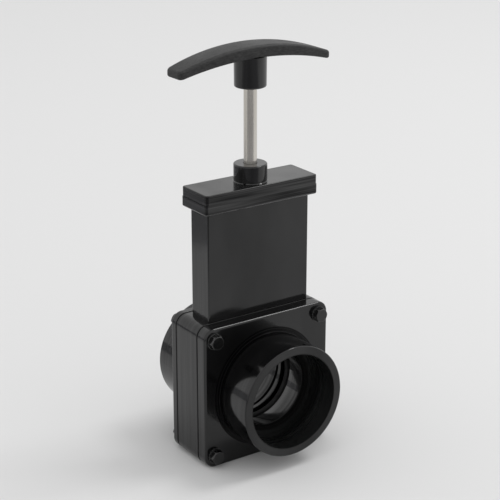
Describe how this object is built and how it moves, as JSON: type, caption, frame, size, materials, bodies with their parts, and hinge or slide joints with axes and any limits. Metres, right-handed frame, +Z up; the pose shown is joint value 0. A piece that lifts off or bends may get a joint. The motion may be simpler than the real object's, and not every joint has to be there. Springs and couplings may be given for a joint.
{
  "type": "slide gate valve",
  "caption": "Open slide gate valve with a pipe socket on each side, a tall flat bonnet and a gate on a pull rod with a T handle.",
  "frame": {"origin": "on the floor under the gate, midway between the side edges of the body plates", "axes": "+Z up along the pull rod, flow along Y, front socket facing -Y, +X to the right seen from the front"},
  "size_m": [0.106, 0.0979, 0.2554],
  "materials": {
    "gloss_black": "polished moulded black plastic",
    "textured_black": "fine textured black plastic",
    "gate_plastic": "satin dark grey plastic",
    "seal_rubber": "matte black rubber",
    "rod_steel": "ground stainless steel",
    "black_fastener": "black coated steel"
  },
  "bodies": {
    "valve": {"valve_body": "gloss_black", "front_flange": "gloss_black", "rear_flange": "gloss_black", "bonnet": "gloss_black", "bonnet_cap": "gloss_black", "rod_gland": "gloss_black", "front_seal": "seal_rubber", "rear_seal": "seal_rubber", "bolt_upper_left": "black_fastener", "bolt_upper_right": "black_fastener", "bolt_lower_left": "black_fastener", "bolt_lower_right": "black_fastener", "nut_upper_left": "black_fastener", "nut_upper_right": "black_fastener", "nut_lower_left": "black_fastener", "nut_lower_right": "black_fastener", "front_washer_upper_left": "black_fastener", "front_washer_upper_right": "black_fastener", "front_washer_lower_left": "black_fastener", "front_washer_lower_right": "black_fastener", "rear_washer_upper_left": "black_fastener", "rear_washer_upper_right": "black_fastener", "rear_washer_lower_left": "black_fastener", "rear_washer_lower_right": "black_fastener"},
    "gate_and_handle": {"gate": "gate_plastic", "pull_rod": "rod_steel", "handle_boss": "gloss_black", "handle_grip": "textured_black"}
  },
  "joints": [
    {"name": "gate_slide", "type": "slide", "parent": "valve", "child": "gate_and_handle", "axis": [0, 0, 1], "range_m": [-0.0453, 0.0085]}
  ]
}
